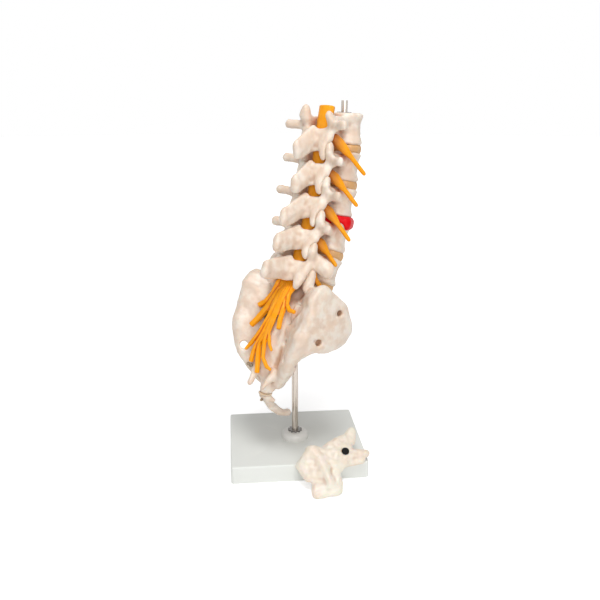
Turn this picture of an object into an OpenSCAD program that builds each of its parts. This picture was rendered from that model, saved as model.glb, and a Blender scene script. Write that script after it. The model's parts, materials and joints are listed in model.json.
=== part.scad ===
// Lumbar spine model on a stand, in millimetres, +Z up, front edge of the plate towards -Y.
// The stand is centred on the rod. The spine stands on the rod and is turned about it.

/* [Stand] */
// Width of the base plate along its front edge
base_w = 130; // [100:1:170]
// Depth of the base plate
base_d = 115; // [90:1:150]
// Thickness of the base plate
base_t = 17; // [12:0.5:28]
// Radius of the four upright corners of the plate
base_corner_r = 3; // [1:0.5:10]
// Bevel along the top edges of the plate
base_bevel = 1; // [0.4:0.1:2.5]
// Foot diameter of the collar that holds the rod
collar_d = 27; // [20:0.5:40]
// Diameter of the collar's flat top
collar_top_d = 18; // [12:0.5:19]
// Height of the collar
collar_h = 7; // [4:0.5:14]
// Outer diameter of the toothed lock washers
washer_d = 14; // [10:0.5:18]
// Thickness of the toothed lock washers
washer_t = 1.2; // [0.6:0.1:2.5]

/* [Rod] */
// Diameter of the rod
rod_d = 6; // [4:0.1:8]
// Depth that the rod is sunk into the plate
rod_seat = 11; // [6:0.5:14]
// Upright length of the rod from the top of the plate to its bend
rod_upright = 93.5; // [80:0.5:120]
// Radius of the bend inside the sacrum
rod_bend_r = 45; // [30:1:60]
// Lean of the rod above the bend, in degrees
rod_lean = 28; // [20:0.5:34]
// Straight length between the bend and the top of the sacrum
rod_straight = 38.8; // [32:0.1:46]
// Radius of the long curve through the vertebrae
rod_curve_r = 377; // [300:1:520]
// Length of rod that stands out of the top vertebra
rod_stub = 12; // [6:0.5:20]

/* [Vertebrae] */
// Turn of the spine about the rod, in degrees
spine_turn = -50; // [-90:1:0]
// Width of the first vertebral body
body_w = 42; // [36:0.5:50]
// Depth of the first vertebral body, front to back
body_d = 30; // [26:0.5:36]
// Height of a vertebral body
body_h = 26.4; // [22:0.2:29]
// Gain in width from one body to the next below it
body_w_step = 1.4; // [0:0.1:2.5]
// Share of the width that the waist of a body keeps
body_waist = 0.88; // [0.8:0.01:0.95]
// Height of a disc between two vertebrae
disc_h = 7.8; // [6:0.1:11]
// Width of the spinal canal
canal_w = 24; // [20:0.5:28]
// Depth of the spinal canal
canal_d = 21; // [17:0.5:24]
// Height of a pedicle
pedicle_h = 13; // [9:0.5:15]
// Width of a pedicle, and of the bony pillar behind it
pillar_w = 8; // [6:0.5:10]
// Thickness of a lamina
lamina_t = 5.6; // [4:0.2:8]
// Distance between the tips of the transverse processes
process_span = 76; // [64:1:90]
// Length of a spinous process behind the canal
spinous_len = 29; // [22:0.5:34]
// Height of the blade of a spinous process
spinous_h = 18; // [13:0.5:21]
// Gap in the joints between neighbouring vertebrae
facet_gap = 0.5; // [0.3:0.1:1]

/* [Sacrum] */
// Slope of the top face of the sacrum, in degrees
sacral_slope = 42; // [36:1:46]
// Width of the sacrum over its wings
sacrum_w = 106; // [90:1:120]
// Length of the sacrum down to its tip
sacrum_len = 106; // [92:1:116]
// Height of the lowest disc at its centre
low_disc_h = 9; // [6:0.1:12]
// Diameter of the holes in the joint faces of the sacrum
joint_hole_d = 6; // [4:0.2:8]
// Length of the coccyx
coccyx_len = 44; // [34:1:54]

/* [Nerves] */
// Width of the dural sac
dura_w = 17; // [11:0.5:19]
// Depth of the dural sac
dura_d = 12; // [7:0.5:13]
// Diameter of the thick root of a spinal nerve
root_d = 11; // [7:0.2:11.5]
// Diameter of the free end of a spinal nerve
nerve_d = 4.4; // [3:0.2:6]

/* [Loose sacral crest] */
// Length of the crest along its ridge
crest_len = 74; // [62:1:86]
// Width of the crest over its side lobes
crest_w = 60; // [50:1:70]
// Thickness of the crest's wall
crest_t = 6; // [4:0.5:9]
// Diameter of the round magnet in the crest
magnet_d = 7; // [5:0.5:9]

/* [Hidden] */
// Gap between pieces that seat on one another
seat_gap = 0.1;
// Gap between the rod and the bores that it runs through
rod_gap = 0.5;
// Sides of the small rounded forms of the bones
bone_fn = 6;
// Sides of the bodies and discs
body_fn = 14;
levels = 5;
rod_bend_z = base_t + rod_upright;
// The body of a vertebra lies this far behind the rod
body_set = 1.5;
body_rim = 2.6;

// The rod's route: place and lean at a length measured up from the top of the sacrum
bend_a = rod_bend_r * (1 - cos(rod_lean));
bend_z = rod_bend_z + rod_bend_r * sin(rod_lean);
top_a = bend_a + rod_straight * sin(rod_lean);
top_z = bend_z + rod_straight * cos(rod_lean);
function lean_at(t) = rod_lean - t / rod_curve_r * 180 / PI;
function route_at(t) = [top_a + rod_curve_r * (cos(lean_at(t)) - cos(rod_lean)),
    top_z + rod_curve_r * (sin(rod_lean) - sin(lean_at(t)))];

// Level 0 is the highest vertebra and level 4 the lowest
function height_of(i) = body_h + (i == 0 ? 2 : 0) - (i == levels - 1 ? 1.2 : 0);
function width_of(i) = body_w + i * body_w_step;
function depth_of(i) = body_d + i * body_w_step * 0.45;
function low_end(i) = i == levels - 1 ? low_disc_h : low_end(i + 1) + height_of(i + 1) + disc_h;
function mid(i) = low_end(i) + height_of(i) / 2;
spine_top = low_end(0) + height_of(0);
spread_gain = 1.1;

function wall_y(i) = -body_set - depth_of(i) / 2;
function pillar_x(i) = canal_w / 2 + pillar_w / 2 + i * spread_gain;
function pillar_y(i) = wall_y(i) - 0.78 * canal_d;
function lamina_y(i) = wall_y(i) - canal_d - lamina_t / 2;

// A closed outline between an ellipse and a box, with half sizes a and b
function oval(a, b, n, p) = [for (j = [0:n - 1]) let (c = cos(360 * j / n), s = sin(360 * j / n))
    [a * sign(c) * pow(abs(c), 2 / p), b * sign(s) * pow(abs(s), 2 / p)]];
function unit(v) = v / norm(v);

module loft(rings) {
    n = len(rings[0]);
    m = len(rings);
    low = [for (j = [0:n - 1]) j];
    high = [for (j = [n - 1:-1:0]) j + (m - 1) * n];
    sides = [for (k = [0:m - 2], j = [0:n - 1])
        [k * n + j, k * n + n + j, k * n + n + (j + 1) % n, k * n + (j + 1) % n]];
    polyhedron([for (r = rings) each r], concat([low, high], sides));
}

// A round bar of changing thickness along hand-set points [x, y, z, radius]
module strand(p, n = 8, flat = 1) {
    last = len(p) - 1;
    loft([for (k = [0:last])
        let (t = unit(place(p[min(k + 1, last)]) - place(p[max(k - 1, 0)])),
            u = unit(cross([0, 1, 0.2], t)), v = cross(t, u))
        [for (j = [0:n - 1]) place(p[k]) + p[k][3] * (cos(360 * j / n) * u + flat * sin(360 * j / n) * v)]]);
}
function place(p) = [p[0], p[1], p[2]];

// A rounded form [x, y, z, half sizes] and the limb that joins two of them
module blob(a, n = bone_fn) {
    translate([a[0], a[1], a[2]])
        scale([a[3], a[4], a[5]])
            sphere(1, $fn = n);
}
module limb(a, b) {
    hull() {
        blob(a);
        blob(b);
    }
}
module both() {
    children();
    mirror([1, 0, 0]) children();
}

module in_spine() {
    rotate([0, 0, spine_turn]) children();
}
module at_route(t) {
    translate([0, route_at(t)[0], route_at(t)[1]])
        rotate([-lean_at(t), 0, 0]) children();
}
module at_level(i) {
    in_spine() at_route(mid(i)) children();
}
module at_sacrum() {
    in_spine() translate([0, top_a, top_z]) rotate([-sacral_slope, 0, 0]) children();
}

// Stand
module plate_outline() {
    x = base_w / 2 - base_corner_r;
    y = base_d / 2 - base_corner_r;
    polygon([for (c = [[x, y, 0], [-x, y, 90], [-x, -y, 180], [x, -y, 270]], s = [0:15:90])
        [c[0] + base_corner_r * cos(c[2] + s), c[1] + base_corner_r * sin(c[2] + s)]]);
}
module base_plate() {
    color("white")
        difference() {
            linear_extrude(base_t) plate_outline();
            for (s = [-1, 1]) {
                translate([s * base_w / 2, 0, base_t]) rotate([0, 45, 0])
                    cube([base_bevel * sqrt(2), base_d * 2, base_bevel * sqrt(2)], center = true);
                translate([0, s * base_d / 2, base_t]) rotate([45, 0, 0])
                    cube([base_w * 2, base_bevel * sqrt(2), base_bevel * sqrt(2)], center = true);
            }
            translate([0, 0, base_t - rod_seat])
                cylinder(d = rod_d + 2 * seat_gap, h = rod_seat + 1, $fn = 48);
        }
}
module rod_collar() {
    in = rod_d / 2 + seat_gap;
    z = base_t;
    round_r = (collar_d - collar_top_d) / 2;
    color("white")
        rotate_extrude($fn = 64)
            polygon(concat([[in, z], [collar_d / 2, z]],
                [for (s = [0:15:90]) [collar_top_d / 2 + round_r * cos(s), z + 1 + (collar_h - 1) * sin(s)]],
                [[in, z + collar_h]]));
}
module lock_washer() {
    teeth = 10;
    color("dimgray")
        difference() {
            union() {
                cylinder(d = washer_d * 0.78, h = washer_t, $fn = 48);
                for (k = [0:teeth - 1])
                    rotate(360 * k / teeth) translate([-washer_d * 0.07, 0, 0])
                        cube([washer_d * 0.14, washer_d / 2, washer_t]);
            }
            translate([0, 0, -1]) cylinder(d = rod_d + 2 * seat_gap, h = washer_t + 2, $fn = 48);
        }
}
module lower_lock_washer() {
    translate([0, 0, base_t + collar_h]) lock_washer();
}
// The rod's run. With a gap, its pieces stop short of one another and a ball joins them
module rod_run(d, foot, stub, n, gap) {
    turn = spine_top / rod_curve_r * 180 / PI;
    bend_gap = gap / rod_bend_r * 180 / PI;
    curve_gap = gap / rod_curve_r * 180 / PI;
    in_spine() {
        translate([0, 0, foot]) cylinder(d = d, h = rod_bend_z - foot - gap, $fn = n);
        translate([0, 0, rod_bend_z]) ball(d, n, gap);
        translate([0, rod_bend_r, rod_bend_z]) rotate([90, 0, -90])
            rotate([0, 0, bend_gap]) rotate_extrude(angle = rod_lean - 2 * bend_gap, $fn = 5 * n)
                translate([rod_bend_r, 0]) circle(d = d, $fn = n);
        translate([0, bend_a, bend_z]) rotate([-rod_lean, 0, 0]) {
            ball(d, n, gap);
            translate([0, 0, gap]) cylinder(d = d, h = rod_straight - 2 * gap, $fn = n);
            translate([0, 0, rod_straight]) ball(d, n, gap);
        }
        translate([0, top_a - rod_curve_r * cos(rod_lean), top_z + rod_curve_r * sin(rod_lean)])
            rotate([90, 0, 90]) rotate([0, 0, curve_gap - rod_lean])
                rotate_extrude(angle = turn - 2 * curve_gap, $fn = 8 * n)
                    translate([rod_curve_r, 0]) circle(d = d, $fn = n);
        at_route(spine_top) {
            ball(d, n, gap);
            translate([0, 0, gap]) cylinder(d = d, h = stub - gap, $fn = n);
        }
    }
}
module ball(d, n, gap) {
    if (gap > 0)
        sphere(d = d + 0.12, $fn = n);
}
module support_rod() {
    color("silver") rod_run(rod_d, base_t - rod_seat, rod_stub, 32, 0.15);
}
module upper_lock_washer() {
    in_spine() translate([0, route_at(spine_top)[0], route_at(spine_top)[1]]) rotate([-lean_at(mid(0)), 0, 0])
        translate([0, 0, seat_gap]) lock_washer();
}

// Vertebrae
module body_block(i, grow = 0) {
    a = width_of(i) / 2 + grow;
    b = depth_of(i) / 2 + grow;
    h = height_of(i) / 2 + grow;
    loft([for (s = [[-h, 0.95], [-h + body_rim * 0.5, 1], [-h * 0.35, body_waist], [h * 0.35, body_waist],
            [h - body_rim * 0.5, 1], [h, 0.95]])
        [for (q = oval(a * s[1], b * s[1], body_fn, 2.3)) [q[0], q[1] - body_set, s[0]]]]);
}
module upper_joint(i, grow = 0) {
    x = pillar_x(i) - 1.8;
    y = pillar_y(i) - 3.4;
    z = height_of(i) / 2;
    // The right tip of the top vertebra is worn down and lies further back
    for (side = [-1, 1])
        let (tip = i == 0 && side > 0 ? [0.2, -3.2, -5.6] : [0, 0, 0])
            mirror([side < 0 ? 1 : 0, 0, 0]) hull() {
                blob([x + 0.8, y + 2, z - 8, 4.6 + grow, 4.8 + grow, 6 + grow]);
                blob([x + 1.6 + tip[0], y + tip[1], z + 2 + tip[2], 3.8 + grow, 4.2 + grow, 4.6 + grow]);
                blob([x + 4, y - 2.6, z - 3.4 + tip[2] * 0.6, 3.4 + grow, 3.2 + grow, 4.4 + grow]);
            }
}
module lower_joint(i) {
    x = pillar_x(i + 1) - 5;
    y = pillar_y(i) - 2;
    z = -height_of(i) / 2;
    both()
        hull() {
            blob([pillar_x(i) - 1, y - 1, -6, pillar_w / 2 + 0.5, 4.5, 7]);
            blob([x, y - 5, z - 3, 5, 4.4, 6]);
            blob([x + 0.6, y - 5.4, z - 10.4, 4.6, 3.8, 5]);
        }
}
module plate_of_arch(i, grow = 0) {
    t = lamina_t / 2 + grow;
    w = pillar_w / 2 + grow;
    both() {
        limb([pillar_x(i) - 0.6, pillar_y(i) - 1, 1.4, w, t + 1, 7 + grow],
            [pillar_x(i) - 3, pillar_y(i) - 3, -8, w, t + 1, 7.5 + grow]);
        limb([pillar_x(i) - 4, pillar_y(i) - 3.6, -8.6, 4.8 + grow, t + 0.4, 9.2 + grow],
            [1.6, lamina_y(i) - 0.6, -11.6, 3.6, t, 11.6 + grow]);
    }
}
module side_process(i) {
    low = i == levels - 1;
    x = process_span / 2 - 3 + [0, 0, 3, 0, 1][i];
    y = pillar_y(i);
    half = low ? [pillar_x(i) + 8, y + 6, 0, 6, 5.6, 7.4]
        : [(pillar_x(i) + x) / 2, y - 3, 2.2, 3.2, 2.8, 4.2];
    both() {
        limb([pillar_x(i), y + (low ? 4 : 2), 2, 4.4, 4.4, low ? 8 : 6], half);
        limb(half, low ? [x, y + 9, -3, 5.6, 5, 7.6] : [x, y - 7, 2.4, 3.3, 3, 4.6]);
    }
}
module arch(i) {
    y = lamina_y(i);
    w = wall_y(i);
    t = lamina_t / 2;
    drop = [20, 21, 24, 19, 18][i];
    len = spinous_len * [0.9, 0.78, 1, 0.98, 1.1][i];
    h = spinous_h / 2;
    both() {
        limb([pillar_x(i) - 3, w + 4, 4.5, pillar_w / 2 - 0.5, 3, pedicle_h / 2],
            [pillar_x(i) - 0.6, pillar_y(i) + 1.5, 4.5, pillar_w / 2, 4, pedicle_h / 2]);
    }
    plate_of_arch(i);
    limb([0, y - 1, -9, 4.6, t + 0.6, h + 3.6], [0, y - len + 6.4, -drop, 3.7, 6.4, h + 1]);
    limb([0, y - len + 3.6, 4 - drop, 4.2, 4, 5], [0, y - len + 4.6, -4.6 - drop, 4.4, 4.2, 5]);
}
module canal_cut(i) {
    c = canal_w / 2 + i * spread_gain * 0.6;
    y = wall_y(i);
    half = [[c, y - canal_d * 0.5], [c, y - canal_d * 0.2], [c * 0.6, y + 0.8]];
    back = [[c * 0.6, y - canal_d * 0.88], [0, y - canal_d]];
    translate([0, 0, -40]) linear_extrude(80)
        polygon(concat(half, [[0, y + 1.6]], [for (k = [2:-1:0]) [-half[k][0], half[k][1]]],
            [[-back[0][0], back[0][1]], back[1], back[0]]));
}
module vertebra(i) {
    color("ivory")
        difference() {
            at_level(i) difference() {
                union() {
                    body_block(i);
                    arch(i);
                    upper_joint(i);
                    lower_joint(i);
                    side_process(i);
                }
                canal_cut(i);
                cylinder(d = rod_d + 2 * rod_gap, h = 60, center = true, $fn = 10);
            }
            if (i < levels - 1)
                at_level(i + 1) {
                    upper_joint(i + 1, facet_gap);
                    plate_of_arch(i + 1, facet_gap);
                }
            else
                at_sacrum() sacral_joint(facet_gap);
        }
}
module vertebra_l1() {
    vertebra(0);
}
module vertebra_l2() {
    vertebra(1);
}
module vertebra_l3() {
    vertebra(2);
}
module vertebra_l4() {
    vertebra(3);
}
module vertebra_l5() {
    vertebra(4);
}

// Discs
module disc_face(i, up, grow) {
    s = up ? 1 : -1;
    at_route(mid(i)) translate([0, -body_set, s * (height_of(i) / 2 + seat_gap) + (up ? 0 : -0.2)])
        linear_extrude(0.2) polygon(oval(width_of(i) / 2 * grow, depth_of(i) / 2 * grow, body_fn, 2.3));
}
module rod_hole(t, n = 32) {
    in_spine() at_route(t) cylinder(d = rod_d + 2 * rod_gap, h = 40, center = true, $fn = n);
}
module disc_block(i) {
    in_spine() hull() {
        disc_face(i, false, 0.93);
        at_route(low_end(i) - disc_h / 2) translate([0, -body_set, -disc_h * 0.2])
            linear_extrude(disc_h * 0.4) polygon(oval(width_of(i) / 2, depth_of(i) / 2, body_fn, 2.3));
        disc_face(i + 1, true, 0.93);
    }
}
module disc_between(i) {
    difference() {
        disc_block(i);
        rod_hole(low_end(i) - disc_h / 2);
    }
}
// The bulging disc swells over the rims at the right front and towards the nerve at the right back
module bulge(i) {
    a = width_of(i) / 2;
    b = depth_of(i) / 2;
    run = [[a * 0.3, b - 5, 0, 5, 4.4, 4.2], [a * 0.7, b * 0.4, -1.4, 7, 7.4, 8],
        [a * 0.93, -1.1, -2.5, 5.5, 6.1, 7.3], [a * 0.57, -9.1, 0.3, 4, 3.7, 3.7],
        [a * 0.47, -b - 1.7, -2.1, 4.5, 5.1, 6.5], [a * 0.23, -b + 0.5, 0.1, 4, 4.3, 3.7]];
    for (k = [0:len(run) - 2], pass = [0:1])
        hull() {
            blob(run[k], 7);
            blob(run[k + 1], 7);
        }
}
module disc_bulging(i) {
    difference() {
        union() {
            disc_block(i);
            difference() {
                in_spine() at_route(low_end(i) - disc_h / 2) bulge(i);
                at_level(i) body_block(i, seat_gap);
                at_level(i + 1) body_block(i + 1, seat_gap);
            }
        }
        rod_hole(low_end(i) - disc_h / 2, 12);
    }
}
module disc_l1_l2() {
    color("peru") disc_between(0);
}
module disc_l2_l3() {
    color("peru") disc_between(1);
}
module disc_l3_l4() {
    color("red") disc_bulging(2);
}
module disc_l4_l5() {
    color("peru") disc_between(3);
}
module disc_l5_s1() {
    i = levels - 1;
    color("peru")
        difference() {
            hull() {
                in_spine() disc_face(i, false, 0.93);
                at_sacrum() translate([0, -body_set, seat_gap]) linear_extrude(0.2)
                    polygon(oval(width_of(i) / 2 * 0.95, depth_of(i) / 2 * 0.95, body_fn, 2.3));
            }
            rod_hole(low_disc_h / 2);
        }
}

// Sacrum and coccyx, in the frame of the top face of the sacrum
wing_x = sacrum_w / 2;
down = sacrum_len / 106;
// Places of the upper three openings on each side: sideways and down
openings = [[22, -26], [20.5, -44], [19, -62]];

module sacral_joint(grow = 0) {
    x = pillar_x(levels) - 0.6;
    y = pillar_y(levels - 1) + 2;
    both()
        limb([x, y + 4, -9, 5.5 + grow, 6 + grow, 7 + grow],
            [x + 1, y - 1.6, 3, 4.2 + grow, 4 + grow, 4.6 + grow]);
}
module multi_limb(list) {
    hull()
        for (a = list)
            blob([a[0], a[1], a[2] * down, a[3], a[4], a[5]]);
}
module sacral_bodies() {
    b = depth_of(levels - 1) / 2;
    rings = [[0, 24, b - 1, -b - 1.5], [-3, 25, b, -b - 2.5], [-14, 22, 11, -22], [-32, 18, 7, -25],
        [-50, 15.5, 7, -23], [-68, 14, 10.5, -18], [-86, 12.6, 17, -8], [-98, 10.5, 20, 0]];
    loft([for (k = [len(rings) - 1:-1:0]) let (q = rings[k])
        [for (o = oval(q[1], (q[2] - q[3]) / 2, body_fn, 2.2))
            [o[0], o[1] + (q[2] + q[3]) / 2, q[0] * down]]]);
}
module sacral_side() {
    w = wing_x;
    multi_limb([[14, 0, -12, 9, 10, 8], [w - 6, 18, -23, 6, 8, 8], [w - 5, -4, -12, 5, 10, 7],
        [w - 8, -32, -13, 5.5, 10, 8], [w - 8, -34, -25, 5.5, 10, 9], [22, -18, -14, 8, 8, 8],
        [w - 6, 17, -35, 5.5, 9, 8], [w - 6, 5, -47, 5.5, 9, 7], [w - 6, -7, -54, 5.5, 9, 7],
        [14, -6, -40, 8, 9, 10]]);
    multi_limb([[w - 8, -32, -26, 5.5, 10, 8], [w - 8, -27, -44, 5.5, 9, 8], [w - 6, -8, -50, 5.5, 9, 8],
        [w - 9, -16, -60, 5.5, 9, 7], [24, -16, -44, 8, 8, 10]]);
    multi_limb([[14, -6, -48, 9, 9, 10], [w - 7, -12, -56, 5.5, 9, 8], [w - 9, -26, -46, 6, 9, 9],
        [w - 11, -25, -60, 6, 9, 8], [w - 14, -19, -69, 6, 9, 7], [12, 2, -72, 8, 8, 8]]);
    multi_limb([[12, 2, -72, 8, 8, 8], [w - 14, -18.5, -72, 5.5, 8, 6], [w - 21, -11, -82, 5.5, 8, 6],
        [21, 1, -90, 5, 7, 6], [10, 11, -96, 6.5, 6.5, 6]]);
    multi_limb([[12, -2, -91, 4, 5, 6], [9, -3.5, -106, 2.8, 3, 4.4]]);
}
module sacral_tip() {
    difference() {
        at_sacrum() multi_limb([[0, 10, -94, 10.5, 10, 5], [0, 12, -108, 7.6, 5.6, 4]]);
        at_tip() translate([-20, -20, -20]) cube([40, 40, 20]);
    }
}
module sacral_trough() {
    run = [[0, -29, 6, 14, 10.5, 12], [0, -38, -20, 18, 16, 14], [0, -40, -42, 19, 15, 12],
        [0, -35, -60, 17, 13, 10], [0, -28, -78, 13, 12, 9], [0, -17, -98, 6.5, 9, 8]];
    for (k = [0:len(run) - 2])
        multi_limb([run[k], run[k + 1]]);
}
module sacral_openings() {
    for (q = openings)
        translate([q[0], 0, q[1] * down]) rotate([90, 0, -8])
            cylinder(d1 = 7.2, d2 = 8.8, h = 120, center = true, $fn = 6);
    // The lowest opening runs outwards, so it is seen through from behind
    translate([19, -25, -80 * down]) rotate([99, 0, -46]) cylinder(d = 9, h = 90, center = true, $fn = 7);
}
module sacrum() {
    color("ivory")
        difference() {
            union() {
                sacral_tip();
                at_sacrum() difference() {
                    union() {
                        sacral_bodies();
                        both() sacral_side();
                        sacral_joint();
                    }
                    sacral_trough();
                    both() sacral_openings();
                    both() for (q = [[-6, -18], [-11, -52]])
                        translate([wing_x - 9, q[0], q[1] * down]) rotate([0, 90, 0])
                            cylinder(d = joint_hole_d, h = 20, $fn = 12);
                }
            }
            rod_run(rod_d + 2 * rod_gap, rod_bend_z - 40, 1, 12, 0);
        }
}
module at_tip() {
    at_sacrum() translate([0, 12, -108 * down]) rotate([sacral_slope, 0, 0]) children();
}
pad_t = 1.2;
module coccyx_disc() {
    color("khaki") at_tip()
        translate([0, 0, -pad_t - seat_gap]) scale([1, 0.8, 1]) cylinder(d = 15, h = pad_t, $fn = 32);
}
module coccyx() {
    s = coccyx_len / 44;
    run = [[0, 0, -3, 8, 5.8, 2.4], [0, 1.6, -7.4, 7, 5, 3.6], [0, 6, -14, 5, 4.2, 4.4],
        [0, 12, -20.5, 4.6, 3.9, 4.2], [0, 17.6, -25.6, 4, 3.6, 3.8], [0, 23.6, -29, 3.7, 3.3, 3.3],
        [0, 29.6, -30.4, 4.4, 4, 4]];
    color("ivory")
        at_tip() difference() {
            union() {
                for (k = [0:len(run) - 2]) let (a = run[k], b = run[k + 1])
                    limb([a[0], a[1] * s, a[2] * s, a[3], a[4], a[5]],
                        [b[0], b[1] * s, b[2] * s, b[3], b[4], b[5]]);
                both() limb([5, 1.6, -6, 3, 3, 2.6], [9.4, 2.4, -6.4, 2, 2, 2]);
            }
            translate([-15, -15, -pad_t - 2 * seat_gap]) cube([30, 40, 8]);
        }
}
module coccyx_screw() {
    color("dimgray") at_tip() translate([0, -4.2, -6]) rotate([96, 0, 0]) cylinder(d = 2.6, h = 2, $fn = 24);
}
module crest_catch() {
    color("dimgray")
        at_sacrum() translate([-17.8 * sacrum_w / 106, -4.7, -91.6 * down])
            rotate([122, 0, 30]) translate([0, 0, 0.15]) difference() {
                union() {
                    cylinder(r = 1.9, h = 1.8, $fn = 32);
                    translate([-3.1, 0, 0]) cylinder(r = 1.6, h = 1.2, $fn = 32);
                }
                translate([0, 0, -1]) cylinder(r = 1.05, h = 4, $fn = 32);
                translate([-3.1, 0, -1]) cylinder(r = 0.8, h = 4, $fn = 32);
            }
}

// Dural sac and nerves
function behind(t, d) = [0, route_at(t)[0] - d * cos(lean_at(t)), route_at(t)[1] + d * sin(lean_at(t))];
// The sac lies against the back wall of the canal, and only its top end leans forward
sac_back = -wall_y(0) + canal_d - 2 - dura_d / 2;
// The dural sac ends at this height above the sacrum, where the fan of strands begins
sac_end = low_disc_h * 0.75;
sac_lean = 5.4;
module dura_mater() {
    n = 9;
    last = spine_top + 7;
    color("orange")
        in_spine() strand([for (k = [n:-1:0])
            let (t = sac_end + k / n * (last - sac_end), lean = sac_lean * max(0, k - n + 1.6) / 1.6,
                q = behind(t, sac_back - lean))
                [q[0], q[1], q[2], dura_w / 2]], 10, dura_d / dura_w);
}
// The fan of nerve strands: a flat trunk, and strands that leave it one below the other
module fan_trunk() {
    r = dura_w / 2;
    trunk = [[0, -29, 4, r + 0.6, 5, 3], [0, -30, -6, r + 2, 5, 4], [0, -30.4, -15, r + 3, 4.8, 5],
        [-1, -31, -24, r + 2.4, 4.4, 5], [-1.6, -30, -34, r + 0.6, 3.8, 5], [-2, -28, -44, r - 1, 3.4, 5],
        [-2, -25.6, -53, r - 2.6, 3.2, 5], [-2, -22.6, -62, 4.6, 2.8, 4], [-2, -20.6, -69, 3, 2.2, 3]];
    for (k = [0:len(trunk) - 2])
        multi_limb([trunk[k], trunk[k + 1]]);
}
module fan_strands() {
    run = [
        [[-5, -31, -4, 3.4], [-11.4, -31.4, -14, 3.3], [-12.6, -29.4, -24.6, 3.1], [-16.6, -28.6, -34, 2.9],
            [-24.3, -27.6, -39.2, 2.5]],
        [[-5, -32, -18, 3.2], [-8, -30.4, -29, 3.1], [-12.6, -28, -40, 2.9], [-18.6, -25.6, -51.6, 2.8],
            [-23.4, -24.8, -60, 2.4]],
        [[-2, -30.6, -34, 2.9], [-4.7, -27.6, -47.2, 2.7], [-9.5, -23, -61.3, 2.3], [-18, -18, -74.2, 1.9],
            [-22.6, -16.4, -82, 1.2]],
        [[-3.4, -26.6, -50, 2.4], [-5.4, -23.6, -61, 2.3], [-10.7, -18.4, -72.5, 2.2],
            [-13.6, -14, -81.8, 2.1], [-14.5, -9.8, -90, 2]],
        [[-1, -26.4, -50, 2.4], [-4, -23.4, -60, 2.4], [-8, -17.9, -73.7, 2.4], [-5.8, -11.8, -86.1, 2.3],
            [-2.7, -7.4, -97.6, 2.1]],
        [[1.3, -27, -46, 2.1], [1, -24.4, -57, 2], [-1.5, -19.5, -70.7, 1.9], [0.8, -13.8, -83.2, 1.8],
            [7.6, -10.4, -89.4, 1.7], [13, -9.6, -90.6, 1.3]],
        [[2.4, -28.4, -40, 2], [2.6, -26.6, -50, 1.8], [1.4, -23, -62, 1.7], [5.7, -20, -70.6, 1.5],
            [10.6, -18, -75.4, 1.2]],
        [[5, -30.6, -24, 2.3], [8.3, -29.4, -34.3, 2.3], [9, -27, -46.4, 2.2], [11.4, -25, -55.6, 2.1]],
        [[5, -32, -10, 2.2], [7.4, -31.4, -22.4, 2.1], [10.4, -30, -31.7, 1.9], [16.4, -29.6, -36.6, 1.9],
            [22.8, -28.8, -36.6, 1.7]]];
    for (p = run)
        strand([for (q = p) [q[0], q[1], q[2] * down, q[3] * 1.25]], 5);
}
module cauda_equina() {
    color("orange")
        difference() {
            at_sacrum() translate([0, -0.7, 0]) {
                fan_trunk();
                fan_strands();
            }
            in_spine() at_route(sac_end - 0.3) translate([-30, -60, 0]) cube([60, 60, 30]);
        }
}
module nerve(i, side) {
    reach = [1, 0.84, 0.82, 0.6, 0.3][i];
    root = dura_w / 2 + root_d * 0.2 - (i == 0 ? 0.1 : 0.25);
    in = dura_w / 2 + root_d * 0.5 + 2;
    y = wall_y(i) - 1.6 - dura_d / 2;
    out = width_of(i + 1) / 2 + 7.6;
    z = -7;
    // From the bulb outwards, shortened by the reach of this nerve
    way = [[in, y + 0.4, z - 6.2, root_d / 2], [in + 3.8, y + 5, z - 12, root_d * 0.4],
        [in + 7.4, y + 10.4, z - 18.4, nerve_d * 0.58], [out, y + 23.6, z - 33.4, nerve_d / 2],
        [out + 0.6, y + 25, z - 35, nerve_d * 0.28]];
    color("orange")
        at_level(i) mirror([side < 0 ? 1 : 0, 0, 0])
            strand(concat(
                [[root, -sac_back + 0.6, z + 0.4, root_d * 0.27],
                    [root + 2.4, -sac_back + 2.4, z - 1.8, root_d * 0.44]],
                [for (q = way) [in + (q[0] - in) * min(1, reach + 0.2), y + (q[1] - y) * reach,
                    z + (q[2] - z) * reach, q[3]]]), 7);
}
module nerve_l1_right() {
    nerve(0, 1);
}
module nerve_l2_right() {
    nerve(1, 1);
}
module nerve_l3_right() {
    nerve(2, 1);
}
module nerve_l4_right() {
    nerve(3, 1);
}
module nerve_l5_right() {
    nerve(4, 1);
}
module nerve_l1_left() {
    nerve(0, -1);
}
module nerve_l2_left() {
    nerve(1, -1);
}
module nerve_l3_left() {
    nerve(2, -1);
}
module nerve_l4_left() {
    nerve(3, -1);
}
module nerve_l5_left() {
    nerve(4, -1);
}

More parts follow.
